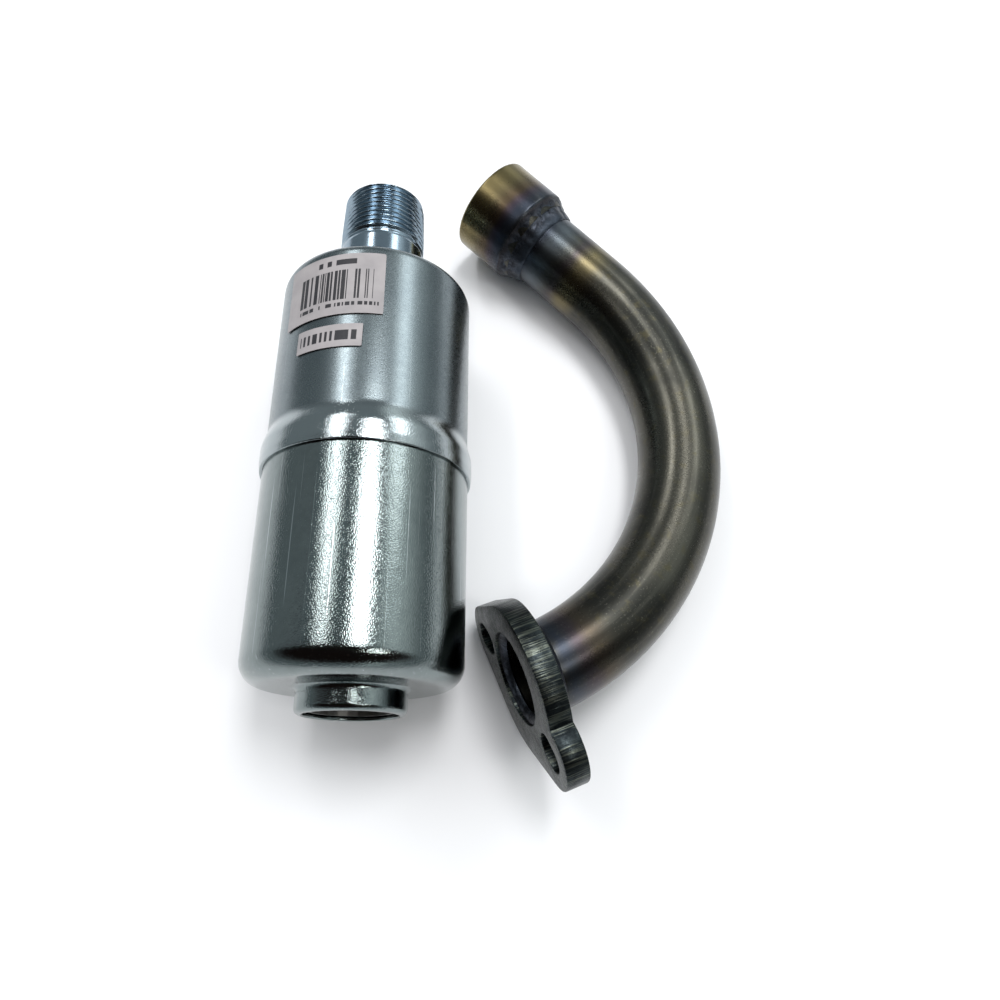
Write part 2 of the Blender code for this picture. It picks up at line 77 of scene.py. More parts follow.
flangePoint, flangeOut = mountAt("flange_face")
couplingPoint, couplingOut = mountAt("coupling_face")
bendUp = couplingOut.cross(flangeOut).normalized()
flangeOrigin = (flangePoint - bendUp * mountOffsets["flangeRim"] * mm
                - flangeOut * mountOffsets["flangeThickness"] * mm)
flangePlace = facing(flangeOrigin, flangeOut, flangeOut.cross(bendUp))
couplingOrigin = couplingPoint + bendUp * mountOffsets["couplingRim"] * mm
couplingPlace = facing(couplingOrigin, -couplingOut, bendUp.cross(couplingOut))

pipe = {
    "radius": 12.7 * mm,
    "wall": 1.65 * mm,
    "bendRadius": 79.5 * mm,
    "bendSweep": 115.35,          # degrees from the coupling's end to the flange's end
    "straight": 48.5 * mm,        # bend start to the coupling's open face
    "couplingEnd": 30.7 * mm,     # tube past the bend, into the coupling
    "flangeEnd": 0.7 * mm,        # tube past the bend, into the flange
    "deburr": 0.2 * mm,
    "around": 96,
    "steps": 150,
}
bendStart = couplingPlace.translation - couplingOut * pipe["straight"]
bendAway = couplingOut.cross(bendUp)
headerPlace = facing(bendStart - bendAway * pipe["bendRadius"], couplingOut, bendAway)


# bmesh helpers

def arc(centre, radius, start, end, steps):
    angles = [math.radians(start + (end - start) * k / steps) for k in range(steps + 1)]
    return [(centre[0] + radius * math.cos(a), centre[1] + radius * math.sin(a)) for a in angles]


def rows(start, end, spacing):
    # points every spacing along a straight side of an outline
    steps = max(1, round(math.dist(start, end) / spacing))
    return [tuple(start[i] + (end[i] - start[i]) * k / steps for i in (0, 1)) for k in range(steps + 1)]


def turn(outline, segments):
    # outline of (radius, along) points, closed on itself, spun about the local Y axis
    bm = bmesh.new()
    verts = [bm.verts.new((0, along, radius)) for radius, along in outline]
    edges = [bm.edges.new(pair) for pair in zip(verts, verts[1:] + verts[:1])]
    bmesh.ops.spin(bm, geom=verts + edges, cent=(0, 0, 0), axis=(0, 1, 0), angle=math.tau,
                   steps=segments, use_merge=True, use_duplicate=False)
    return bm


def polar(co):
    return math.hypot(co.x, co.z), math.atan2(co.x, co.z)


def setRadius(v, radius):
    old = math.hypot(v.co.x, v.co.z)
    v.co.x *= radius / old
    v.co.z *= radius / old


def smoothStep(low, high, value):
    t = min(1.0, max(0.0, (value - low) / (high - low)))
    return t * t * (3.0 - 2.0 * t)


def addPiece(name, bm, place, body, material, nodes=(), sharp=35.0, space=None):
    # the pattern space is the piece's own, straightened if it is bent, kept as an attribute
    bmesh.ops.remove_doubles(bm, verts=bm.verts, dist=0.000002)
    bmesh.ops.recalc_face_normals(bm, faces=bm.faces)
    mesh = bpy.data.meshes.new(name)
    bm.to_mesh(mesh)
    bm.free()
    own = mesh.attributes.new("pieceSpace", "FLOAT_VECTOR", "POINT")
    for v in mesh.vertices:
        own.data[v.index].vector = space(v.co) if space else v.co
    mesh.transform(place)
    mesh.shade_smooth()
    mesh.set_sharp_from_angle(angle=math.radians(sharp))
    mesh.materials.append(material)
    piece = bpy.data.objects.new(name, mesh)
    bpy.context.scene.collection.objects.link(piece)
    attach(piece, body)
    if nodes:
        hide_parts(*nodes)
    return piece


# node helpers

def startMaterial(name, colour, roughness, metallic=1.0):
    material = bpy.data.materials.new(name)
    material.use_nodes = True
    shader = material.node_tree.nodes["Principled BSDF"]
    shader.inputs["Base Color"].default_value = (*colour, 1)
    shader.inputs["Roughness"].default_value = roughness
    shader.inputs["Metallic"].default_value = metallic
    return material, material.node_tree, shader


def addNode(tree, kind, inputs=None, **settings):
    node = tree.nodes.new(kind)
    for key, value in settings.items():
        setattr(node, key, value)
    for key, value in (inputs or {}).items():
        if isinstance(value, bpy.types.NodeSocket):
            tree.links.new(value, node.inputs[key])
        else:
            node.inputs[key].default_value = value
    return node


def stretched(tree, vector, stretch):
    return addNode(tree, "ShaderNodeMapping", {"Vector": vector, "Scale": stretch}).outputs[0]


def pieceSpace(tree, stretch=(1, 1, 1)):
    source = addNode(tree, "ShaderNodeAttribute", attribute_name="pieceSpace")
    return stretched(tree, source.outputs["Vector"], stretch)


def objectSpace(tree, stretch=(1, 1, 1)):
    source = addNode(tree, "ShaderNodeTexCoord")
    return stretched(tree, source.outputs["Object"], stretch)


def alongPiece(tree, space):
    return addNode(tree, "ShaderNodeSeparateXYZ", {0: space}).outputs[1]


def noiseAt(tree, vector, scale, detail=3.0, rough=0.55, distortion=0.0):
    inputs = {"Vector": vector, "Scale": scale, "Detail": detail, "Roughness": rough,
              "Distortion": distortion}
    return addNode(tree, "ShaderNodeTexNoise", inputs).outputs["Fac"]


def remap(tree, value, low, high, toLow=0.0, toHigh=1.0, smooth=False):
    inputs = {"Value": value, "From Min": low, "From Max": high, "To Min": toLow, "To Max": toHigh}
    node = addNode(tree, "ShaderNodeMapRange", inputs)
    node.interpolation_type = "SMOOTHSTEP" if smooth else "LINEAR"
    return node.outputs["Result"]


def combine(tree, kind, a, b=0.0, c=0.0):
    return addNode(tree, "ShaderNodeMath", {0: a, 1: b, 2: c}, operation=kind).outputs[0]


def blendColour(tree, factor, a, b, how="MIX"):
    node = tree.nodes.new("ShaderNodeMix")
    node.data_type = "RGBA"
    node.blend_type = how
    for socket, value in ((node.inputs[0], factor), (node.inputs[6], a), (node.inputs[7], b)):
        if isinstance(value, bpy.types.NodeSocket):
            tree.links.new(value, socket)
        elif isinstance(value, tuple):
            socket.default_value = (*value, 1)
        else:
            socket.default_value = value
    return node.outputs[2]


def bumpFrom(tree, height, strength, distance, under=None):
    inputs = {"Height": height, "Strength": strength, "Distance": distance}
    if under:
        inputs["Normal"] = under
    return addNode(tree, "ShaderNodeBump", inputs).outputs["Normal"]


# zinc plate: satin on the inlet half, brighter and spangled on the outlet half

satinZinc = {
    "colour": (0.195, 0.228, 0.240),
    "clouded": (0.155, 0.183, 0.198),
    "roughness": (0.24, 0.30),
    "spangle": 0.15,              # how far the crystals tilt the surface
    "scuff": 0.10,
    "skirt": 0.012,               # metres from the free edge: glossier up to here, and painted brighter as a painted highlight where the flare catches the light
}
nippleZinc = {
    "colour": (0.30, 0.375, 0.44),
    "clouded": (0.235, 0.30, 0.36),
    "roughness": (0.15, 0.20),
    "spangle": 0.10,
    "scuff": 0.0,
    "skirt": -1.0,
}
brightZinc = {
    "colour": (0.230, 0.264, 0.262),
    "clouded": (0.180, 0.210, 0.210),
    "roughness": (0.09, 0.13),
    "spangle": 0.72,
    "scuff": 0.40,
    "skirt": -1.0,
}
zincWearAndSkirtHighlight = {
    # painted highlight: the skirt's brighter colour stands for the light its flare catches
    "skirtGlossAndHighlight": (0.38, 0.42, 0.43),
    "scratched": (0.85, 0.9, 0.92),
    "glossAndHighlightFade": 0.003,          # metres over which the skirt's gloss and painted highlight end
    "grainHeight": 0.000075,
    "streakHeight": 0.00005,
}


def makeZinc(name, finish):
    material, tree, shader = startMaterial(name, finish["colour"], finish["roughness"][0])
    plain = pieceSpace(tree)
    along = alongPiece(tree, plain)
    skirtGlossAndHighlight = remap(tree, along, finish["skirt"] - zincWearAndSkirtHighlight["glossAndHighlightFade"], finish["skirt"], 1, 0, True)
    clouds = noiseAt(tree, plain, 90, 4, 0.6)
    streaks = noiseAt(tree, pieceSpace(tree, (1, 0.02, 1)), 900, 2, 0.6)
    hairlines = noiseAt(tree, pieceSpace(tree, (1, 0.008, 1)), 1900, 1, 0.5)
    grains = noiseAt(tree, plain, 2700, 1, 0.6)
    mottle = noiseAt(tree, plain, 520, 3, 0.65)
    blotches = remap(tree, mottle, 0.4, 0.75, 0, 0.5)
    soiled = combine(tree, "MULTIPLY_ADD", remap(tree, clouds, 0.35, 0.7), 0.6, blotches)
    tinted = blendColour(tree, soiled, finish["colour"], finish["clouded"])
    # painted highlight: the skirt is mixed toward a brighter colour where its flare catches the light; the
    # roughness below also makes it glossier
    tinted = blendColour(tree, combine(tree, "MULTIPLY", skirtGlossAndHighlight, 0.8), tinted, zincWearAndSkirtHighlight["skirtGlossAndHighlight"])
    scratches = remap(tree, hairlines, 0.70, 0.74, 0.0, finish["scuff"])
    tinted = blendColour(tree, scratches, tinted, zincWearAndSkirtHighlight["scratched"])
    tree.links.new(tinted, shader.inputs["Base Color"])
    low, high = finish["roughness"]
    worn = remap(tree, grains, 0.3, 0.7, low - 0.02, low + 0.03)
    rough = combine(tree, "MULTIPLY_ADD", mottle, high - low, worn)
    rough = combine(tree, "MULTIPLY", rough, combine(tree, "MULTIPLY_ADD", skirtGlossAndHighlight, -0.62, 1.0))
    tree.links.new(rough, shader.inputs["Roughness"])
    moreTilt = 0.6 * max(0.0, 1.0 - finish["spangle"])
    tilt = combine(tree, "MULTIPLY_ADD", skirtGlossAndHighlight, moreTilt, finish["spangle"])
    lines = bumpFrom(tree, streaks, 0.06, zincWearAndSkirtHighlight["streakHeight"])
    tree.links.new(bumpFrom(tree, grains, tilt, zincWearAndSkirtHighlight["grainHeight"], lines), shader.inputs["Normal"])
    return material


satinZincFinish = makeZinc("satinZinc", satinZinc)
nippleZincFinish = makeZinc("nippleZinc", nippleZinc)
brightZincFinish = makeZinc("brightZinc", brightZinc)
print("zinc finishes made")


# muffler shells: two drawn cups, the inlet cup flared into a skirt over the outlet cup

shells = {
    "segments": 160,
    "sheet": 0.8 * mm,
    "inletRadius": 28.75 * mm,
    "skirtRadius": 30.05 * mm,
    "outletRadius": 28.95 * mm,
    "inletEnd": 62.7 * mm,
    "outletEnd": -57.8 * mm,
    "shoulder": 3.2 * mm,
    "heel": 6.1 * mm,
    "overlap": 5.2 * mm,
    "neckRadius": 14.4 * mm,
    "neckLength": 6.7 * mm,
    "neckFillet": 1.6 * mm,
    "opening": 12.2 * mm,
    "nippleHole": 13.6 * mm,
    "flareFrom": 5.6 * mm,        # up from the skirt's free edge
    "flareTo": 12.0 * mm,
    "wallFrom": 13.5 * mm,
    "turnIn": 0.25 * mm,          # how far the free edge is drawn in, and over what length
    "turnInLength": 2.6 * mm,
    "edgeRound": 0.3 * mm,
    "lipRound": 1.5 * mm,
    "mouthRound": 0.4 * mm,
    "wallRows": 1.5 * mm,
    "faceRows": 1.2 * mm,
    "waviness": 0.012 * mm,
    "waveFrom": 20.0 * mm,        # the neck and the nipple's hole stay round
    "waveAround": 1.3,
    "waveAlong": 28.0,
}


def flareAt(t):
    # the skirt's radius from its free edge (t in metres) up to the plain wall
    grow = shells["skirtRadius"] - shells["inletRadius"]
    rise = 1.0 - smoothStep(shells["flareFrom"], shells["flareTo"], t)
    turnIn = shells["turnIn"] * (1.0 - smoothStep(0.0, shells["turnInLength"], t))
    return shells["inletRadius"] + grow * rise - turnIn


def inletOutline():
    end, sheet, edge = shells["inletEnd"], shells["sheet"], shells["edgeRound"]
    wall, spacing = shells["inletRadius"], shells["wallRows"]
    centre = (wall - shells["shoulder"], end - shells["shoulder"])
    outer = rows((shells["nippleHole"], end), (centre[0], end), shells["faceRows"])[:-1]
    outer += arc(centre, shells["shoulder"], 90, 0, 12)
    outer += rows((wall, centre[1] - spacing), (wall, shells["wallFrom"]), spacing)
    outer += [(flareAt(k * 0.4 * mm), k * 0.4 * mm) for k in range(32, 0, -1)]
    outer += arc((flareAt(0.0) - edge, edge), edge, 0, -90, 4)
    inner = [(flareAt(0.0) - sheet, 0.0)]
    inner += [(flareAt(k * mm) - sheet, k * mm) for k in range(1, 14)]
    inner += arc(centre, shells["shoulder"] - sheet, 0, 90, 6)
    inner += [(shells["nippleHole"], end - sheet)]
    return outer + inner


def outletOutline():
    end, sheet, wall = shells["outletEnd"], shells["sheet"], shells["outletRadius"]
    heel, fillet = shells["heel"], shells["neckFillet"]
    opening, mouth, lipRound = shells["opening"], shells["mouthRound"], shells["lipRound"]
    lip = end - shells["neckLength"]
    heelCentre = (wall - heel, end + heel)
    filletCentre = (shells["neckRadius"] + fillet, end - fillet)
    lipCentre = (shells["neckRadius"] - lipRound, lip + lipRound)
    outer = rows((wall, shells["overlap"]), (wall, heelCentre[1]), shells["wallRows"])[:-1]
    outer += arc(heelCentre, heel, 0, -90, 16)
    outer += rows((heelCentre[0] - mm, end), (filletCentre[0] + mm, end), shells["faceRows"])
    outer += arc(filletCentre, fillet, 90, 180, 8)
    outer += arc(lipCentre, lipRound, 0, -90, 10)
    outer += [(opening + shells["edgeRound"], lip)]
    outer += arc((opening + mouth, lip + mouth), mouth, -90, -180, 4)
    inner = [(opening, lip + sheet)]
    inner += arc(lipCentre, lipRound - sheet, -90, 0, 4)
    inner += arc(filletCentre, fillet + sheet, 180, 90, 5)
    inner += arc(heelCentre, heel - sheet, -90, 0, 8)
    inner += [(wall - sheet, shells["overlap"])]
    return outer + inner


def waver(bm, offset):
    # the slow unevenness of drawn sheet, which the reflections follow
    around, along = shells["waveAround"], shells["waveAlong"]
    for v in bm.verts:
        radius, angle = polar(v.co)
        if radius > shells["waveFrom"]:
            spot = Vector((math.cos(angle) * around + offset, v.co.y * along, math.sin(angle) * around))
            setRadius(v, radius - shells["waviness"] * (0.5 + 0.5 * noise.noise(spot)))


inletShell = turn(inletOutline(), shells["segments"])
waver(inletShell, 3.0)
addPiece("inletShell", inletShell, mufflerPlace, "muffler", satinZincFinish,
         ["inlet_shell"])
outletShell = turn(outletOutline(), shells["segments"])
waver(outletShell, 11.0)
addPiece("outletShell", outletShell, mufflerPlace, "muffler", brightZincFinish,
         ["outlet_shell"])
print("muffler shells made")


# nipple with its tapered thread, cut as a real helix that runs out into the plain pipe

nipple = {
    "tip": mountOffsets["nippleTip"] * mm,
    "inside": 54.7 * mm,
    "plainRadius": 13.33 * mm,
    "tipRadius": 12.92 * mm,
    "bore": 10.46 * mm,
    "pitch": 1.814 * mm,
    "depth": 1.35 * mm,
    "fullThread": 15.5 * mm,
    "runOut": 21.5 * mm,
    "threadEnd": 23.0 * mm,
    "threadRows": 0.15 * mm,
    "threadSkin": 12.2 * mm,      # what lies outside this radius is cut
    "taper": 32.0,                # length over which the radius grows by one
    "chamfer": 0.9 * mm,
    "segments": 128,
}


def threadHeight(turns):
    # 0 at a root and 1 at a crest, with small flats at both
    t = turns % 1.0
    return min(1.0, max(0.0, (1.0 - abs(2.0 * t - 1.0) - 0.14) / 0.72))


def nippleOutline():
    tip, inside, end = nipple["tip"], nipple["inside"], nipple["tip"] - nipple["threadEnd"]
    bore, plain = nipple["bore"], nipple["plainRadius"]
    points = rows((bore + 0.3 * mm, tip), (nipple["tipRadius"] - nipple["chamfer"], tip), 0.5 * mm)
    points += rows((nipple["tipRadius"], tip - 0.7 * mm), (plain, end), nipple["threadRows"])
    points += rows((plain, end - mm), (plain, inside), 2.0 * mm)
    points += rows((bore, inside), (bore, tip - 0.3 * mm), 6.0 * mm)
    return points


nippleMesh = turn(nippleOutline(), nipple["segments"])
for v in nippleMesh.verts:
    radius, angle = polar(v.co)
    run = nipple["tip"] - v.co.y
    if radius > nipple["threadSkin"] and 0.5 * mm < run < nipple["threadEnd"] + 0.5 * mm:
        taper = run / nipple["taper"]
        crest = min(nipple["tipRadius"] + taper, nipple["plainRadius"])
        root = nipple["tipRadius"] + taper - nipple["depth"]
        root += (crest - root) * smoothStep(nipple["fullThread"], nipple["runOut"], run)
        setRadius(v, root + (crest - root) * threadHeight(run / nipple["pitch"] + angle / math.tau))
addPiece("inletNipple", nippleMesh, mufflerPlace, "muffler", nippleZincFinish,
         ["inlet_nipple"], 50)
print("threaded nipple made")


def beadOutline(inner, leg, along, toward):
    # weld fillet from a face at along, up a tube of radius inner, a little crowned between
    steps, bulge = 12, 0.1375
    skin = []
    for k in range(steps + 1):
        t = k / steps
        crown = 1.0 + bulge * math.sin(math.pi * t)
        skin.append((inner + leg * (1.0 - t) * crown, along + toward * leg * t * crown))
    return [(inner, along)] + skin


def roughenBead(bm, inner, along, height, lumps, ripples, seed):
    # uneven puddle marks: slow lumps and the ripples left between dabs of filler
    margin = 0.15 * mm            # the bead stays even this near to the tube and the face
    for v in bm.verts:
        radius, angle = polar(v.co)
        if radius > inner + margin and abs(v.co.y - along) > margin:
            spot = Vector((math.cos(angle) * lumps, v.co.y * 180.0, math.sin(angle) * lumps + seed))
            lift = 0.5 + 0.5 * noise.noise(spot)
            lift += 0.28 * math.sin(angle * ripples + 2.5 * noise.noise(spot * 0.7))
            setRadius(v, radius + height * lift)


nippleWeld = {
    "inner": 13.4 * mm,
    "face": 62.8 * mm,
    "leg": 2.3 * mm,
    "segments": 144,
    "marks": {"height": 0.2 * mm, "lumps": 2.5, "ripples": 26, "seed": 5.0},
}
nippleBead = turn(beadOutline(nippleWeld["inner"], nippleWeld["leg"], nippleWeld["face"], 1.0),
                  nippleWeld["segments"])
roughenBead(nippleBead, nippleWeld["inner"], nippleWeld["face"], **nippleWeld["marks"])
addPiece("nippleWeld", nippleBead, mufflerPlace, "muffler", satinZincFinish,
         ["nipple_weld"])


# paper labels, wrapped onto the inlet shell, with plain marks in place of print

labels = {
    "clear": 0.25 * mm,           # above the shell
    "thickness": 0.15 * mm,
    "corner": 0.3 * mm,
    "curl": 0.05 * mm,
    # low and high along the muffler in mm, left and right round it and skew in degrees
    "stock": {"low": 38.0, "high": 58.2, "left": -48.5, "right": 12.5, "skew": 0.3},
    "small": {"low": 27.7, "high": 34.8, "left": -36.5, "right": 2.5, "skew": -0.6},
}


def makePaper(name, marks):
    material, tree, shader = startMaterial(name, (0.62, 0.58, 0.60), 0.42, 0.0)
    uv = addNode(tree, "ShaderNodeUVMap", uv_map="print").outputs[0]
    split = addNode(tree, "ShaderNodeSeparateXYZ", {0: uv})
    across, up = split.outputs[0], split.outputs[1]
    ink = None
    for mark in marks:
        cell = combine(tree, "FLOOR", combine(tree, "MULTIPLY", across, mark["cells"]))
        seeded = {"W": combine(tree, "ADD", cell, mark["seed"])}
        chance = addNode(tree, "ShaderNodeTexWhiteNoise", seeded, noise_dimensions="1D").outputs["Value"]
        shown = combine(tree, "LESS_THAN", chance, mark["share"])
        for value, low, high in ((across, *mark["across"]), (up, *mark["up"])):
            shown = combine(tree, "MULTIPLY", shown, combine(tree, "GREATER_THAN", value, low))
            shown = combine(tree, "MULTIPLY", shown, combine(tree, "LESS_THAN", value, high))
        ink = shown if ink is None else combine(tree, "MAXIMUM", ink, shown)
    space = pieceSpace(tree)
    fibre = noiseAt(tree, space, 1800, 4, 0.65)
    age = noiseAt(tree, space, 120, 3, 0.6)
    paper = blendColour(tree, remap(tree, age, 0.35, 0.7), (0.37, 0.345, 0.352), (0.30, 0.282, 0.29))
    printed = blendColour(tree, combine(tree, "MULTIPLY", ink, 0.96), paper, (0.014, 0.014, 0.018))
    tree.links.new(printed, shader.inputs["Base Color"])
    tree.links.new(remap(tree, fibre, 0.3, 0.7, 0.38, 0.52), shader.inputs["Roughness"])
    shader.inputs["Specular IOR Level"].default_value = 0.25
    tree.links.new(bumpFrom(tree, fibre, 0.15, 0.00004), shader.inputs["Normal"])
    return material


stockMarks = [
    {"cells": 104, "seed": 3.0, "share": 0.50, "across": (0.175, 0.90), "up": (0.24, 0.73)},
    {"cells": 22, "seed": 8.0, "share": 0.60, "across": (0.32, 0.74), "up": (0.82, 0.91)},
    {"cells": 70, "seed": 5.0, "share": 0.42, "across": (0.16, 0.96), "up": (0.13, 0.19)},
]
smallMarks = [{"cells": 26, "seed": 4.0, "share": 0.62, "across": (0.06, 0.92), "up": (0.28, 0.72)}]


def addLabel(name, size, material, node):
    radius = shells["inletRadius"] + labels["clear"]
    width = math.radians(size["right"] - size["left"]) * radius
    height = (size["high"] - size["low"]) * mm
    middle = math.radians((size["left"] + size["right"]) / 2.0)
    bm = bmesh.new()
    bmesh.ops.create_grid(bm, x_segments=60, y_segments=24, size=0.5)
    printMap = bm.loops.layers.uv.new("print")
    for face in bm.faces:
        for loop in face.loops:
            loop[printMap].uv = (loop.vert.co.x + 0.5, loop.vert.co.y + 0.5)
    corner = labels["corner"]
    for v in bm.verts:
        x, y = v.co.x * width, v.co.y * height
        outX, outY = abs(x) - (width / 2 - corner), abs(y) - (height / 2 - corner)
        if outX > 0 and outY > 0:                      # pull the corner cells onto its rounding
            reach = max(outX, outY) / math.hypot(outX, outY)
            x -= math.copysign(outX * (1 - reach), x)
            y -= math.copysign(outY * (1 - reach), y)
        skew = math.radians(size["skew"])
        x, y = x * math.cos(skew) - y * math.sin(skew), x * math.sin(skew) + y * math.cos(skew)
        angle = middle + x / radius
        lift = radius + labels["curl"] * noise.noise(Vector((x * 160, y * 160, size["low"])))
        along = (size["low"] + size["high"]) / 2 * mm + y
        v.co = (lift * math.sin(angle), along, lift * math.cos(angle))
    bmesh.ops.recalc_face_normals(bm, faces=bm.faces)
    bmesh.ops.solidify(bm, geom=bm.faces[:], thickness=-labels["thickness"])
    addPiece(name, bm, mufflerPlace, "muffler", material, [node])


addLabel("stockLabel", labels["stock"], makePaper("stockPaper", stockMarks), "stock_label")
addLabel("smallLabel", labels["small"], makePaper("smallPaper", smallMarks), "small_label")
print("labels made")


# header steel: drawn tube with heat tints near its welds, a painted pale sheen on the tube beside the
# coupling, darker welds and a cut flange

headerSteel = {
    "bare": (0.074, 0.071, 0.059),
    "dark": (0.036, 0.036, 0.032),
    "olive": (0.084, 0.074, 0.041),
    "fleck": (0.17, 0.165, 0.135),
    "roughness": (0.19, 0.30),
}
heatTintsAndSheen = {
    "straw": (0.200, 0.160, 0.075),
    "bronze": (0.110, 0.070, 0.042),
    "purple": (0.058, 0.042, 0.066),
    "blue": (0.036, 0.048, 0.078),
    # painted sheen, not a heat tint: the pale blue-white light on the tube beside the coupling
    "pale": (0.105, 0.125, 0.140),
}


# one band of colour along the piece: heat tint in most bands, painted sheen in the pale one
def tintOrSheenBand(tree, base, colour, along, start, peak, end, strength):
    rise = remap(tree, along, start, peak, 0, 1, True)
    fall = remap(tree, along, peak, end, 1, 0, True)
    share = combine(tree, "MULTIPLY", combine(tree, "MULTIPLY", rise, fall), strength)
    return blendColour(tree, share, base, colour)


def makeHeatSteel(name, bands):
    base = headerSteel
    material, tree, shader = startMaterial(name, base["bare"], base["roughness"][0])
    plain = pieceSpace(tree)
    drawn = pieceSpace(tree, (1, 0.06, 1))
    clouds = noiseAt(tree, plain, 38, 3, 0.5)
    streaks = noiseAt(tree, drawn, 700, 4, 0.62)
    fine = noiseAt(tree, plain, 1500, 3, 0.6)
    spots = noiseAt(tree, plain, 260, 4, 0.6)
    colour = blendColour(tree, remap(tree, clouds, 0.38, 0.66, 0, 1, True), base["bare"], base["dark"])
    colour = blendColour(tree, remap(tree, spots, 0.52, 0.72, 0, 0.55, True), colour, base["olive"])
    colour = blendColour(tree, remap(tree, streaks, 0.50, 0.72, 0, 0.30), colour, (0.13, 0.125, 0.105))
    colour = blendColour(tree, remap(tree, fine, 0.60, 0.72, 0, 0.5), colour, base["fleck"])
    wander = combine(tree, "MULTIPLY_ADD", clouds, 0.010, -0.005)
    along = alongPiece(tree, plain)
    along = combine(tree, "ADD", along, wander)
    for band in bands:
        colour = tintOrSheenBand(tree, colour, heatTintsAndSheen[band[0]], along, *band[1:])
    tree.links.new(colour, shader.inputs["Base Color"])
    low, high = base["roughness"]
    rough = combine(tree, "MULTIPLY_ADD", fine, 0.10, remap(tree, clouds, 0.3, 0.7, low, high))
    tree.links.new(rough, shader.inputs["Roughness"])
    lines = bumpFrom(tree, streaks, 0.20, 0.00008)
    tree.links.new(bumpFrom(tree, fine, 0.18, 0.00006, lines), shader.inputs["Normal"])
    return material


pipeLength = math.radians(pipe["bendSweep"]) * pipe["bendRadius"]
pipeBands = [
    ("blue", -0.034, -0.024, -0.010, 0.70),
    # painted sheen on the tube beside the coupling weld
    ("pale", -0.023, -0.017, -0.009, 0.65),
    ("purple", -0.012, -0.009, -0.006, 0.35),
    ("straw", -0.010, -0.005, 0.004, 0.55),
    ("bronze", pipeLength - 0.024, pipeLength - 0.017, pipeLength - 0.011, 0.30),
    ("purple", pipeLength - 0.018, pipeLength - 0.013, pipeLength - 0.008, 0.45),
    ("blue", pipeLength - 0.013, pipeLength - 0.008, pipeLength - 0.003, 0.55),
]
pipeSteel = makeHeatSteel("pipeSteel", pipeBands)


def straightened(co):
    # x and z across the tube's section, y along it from the start of the bend
    if co.y >= 0.0 and co.x > 0.0:
        return Vector((co.x - pipe["bendRadius"], -co.y, co.z))
    angle = math.atan2(-co.y, co.x)
    end = math.radians(pipe["bendSweep"])
    reach = math.hypot(co.x, co.y)
    if angle > end:
        past = reach * math.sin(angle - end)
        return Vector((reach * math.cos(angle - end) - pipe["bendRadius"], pipeLength + past, co.z))
    return Vector((reach - pipe["bendRadius"], angle * pipe["bendRadius"], co.z))


def headerPipe():
    bm = bmesh.new()
    section = Matrix.Translation((pipe["bendRadius"], 0, 0)) @ Matrix.Rotation(math.pi / 2, 4, "X")
    for radius in (pipe["radius"], pipe["radius"] - pipe["wall"]):
        bmesh.ops.create_circle(bm, segments=pipe["around"], radius=radius, matrix=section)
    first = list(bm.edges)
    swept = bmesh.ops.spin(bm, geom=list(bm.verts) + first, cent=(0, 0, 0), axis=(0, 0, 1),
                           angle=-math.radians(pipe["bendSweep"]), steps=pipe["steps"], use_duplicate=False)
    last = [g for g in swept["geom_last"] if isinstance(g, bmesh.types.BMEdge)]
    turned = Matrix.Rotation(-math.radians(pipe["bendSweep"]), 3, "Z")
    ends = ((first, Vector((0, 1, 0)), pipe["couplingEnd"], 20),
            (last, turned @ Vector((0, -1, 0)), pipe["flangeEnd"], 1))
    for edges, outward, length, steps in ends:
        for step in range(steps):
            grown = bmesh.ops.extrude_edge_only(bm, edges=edges)["geom"]
            moved = [g for g in grown if isinstance(g, bmesh.types.BMVert)]
            bmesh.ops.translate(bm, verts=moved, vec=outward * length / steps)
            edges = [g for g in grown
                     if isinstance(g, bmesh.types.BMEdge) and all(v in moved for v in g.verts)]
        middle = sum((v.co for v in moved), Vector()) / len(moved)
        inner = [v for v in moved if (v.co - middle).length < pipe["radius"] - 0.5 * pipe["wall"]]
        bmesh.ops.translate(bm, verts=inner, vec=-outward * pipe["deburr"])
        bmesh.ops.bridge_loops(bm, edges=edges)
    return bm


addPiece("headerPipe", headerPipe(), headerPlace, "header", pipeSteel, ["header_pipe"],
         35, straightened)
print("header pipe swept")


# coupling, threaded inside, its back end coned down to the weld

coupling = {
    "radius": 16.5 * mm,
    "length": 18.5 * mm,
    "coneLength": 21.9 * mm,
    "coneRadius": 14.7 * mm,
    "mouth": 13.5 * mm,
    "threadDepth": 1.35 * mm,
    "threadLength": 15.5 * mm,
    "threadRadius": 13.3 * mm,    # of the grooves at the mouth
    "threadSkin": 12.8 * mm,      # what lies outside this radius, up to the mouth's, is cut
    "bore": 11.05 * mm,
    "socket": 13.05 * mm,         # takes the tube
    "socketStart": 17.5 * mm,
    "segments": 128,
}


def couplingOutline():
    r, back, length = coupling["radius"], coupling["coneLength"], coupling["length"]
    mouth, bore, threaded = coupling["mouth"], coupling["bore"], coupling["threadLength"]
    socket, socketStart = coupling["socket"], coupling["socketStart"]
    backRound, frontRound = 0.8 * mm, 0.9 * mm
    points = [(socket, back), (coupling["coneRadius"], back)]
    points += arc((r - backRound, length - 0.6 * mm), backRound, 40, 0, 4)
    points += rows((r, length - 1.2 * mm), (r, 1.2 * mm), 1.2 * mm)
    points += arc((r - frontRound, frontRound), frontRound, 0, -90, 8)
    points += rows((mouth + mm, 0.0), (mouth, 0.6 * mm), 0.4 * mm)
    points += rows((mouth, 0.9 * mm), (mouth - 0.5 * mm, threaded), nipple["threadRows"])
    points += [(bore + 0.6 * mm, threaded + 0.6 * mm), (bore, threaded + 1.2 * mm)]
    points += [(bore, socketStart), (socket, socketStart)]
    return points


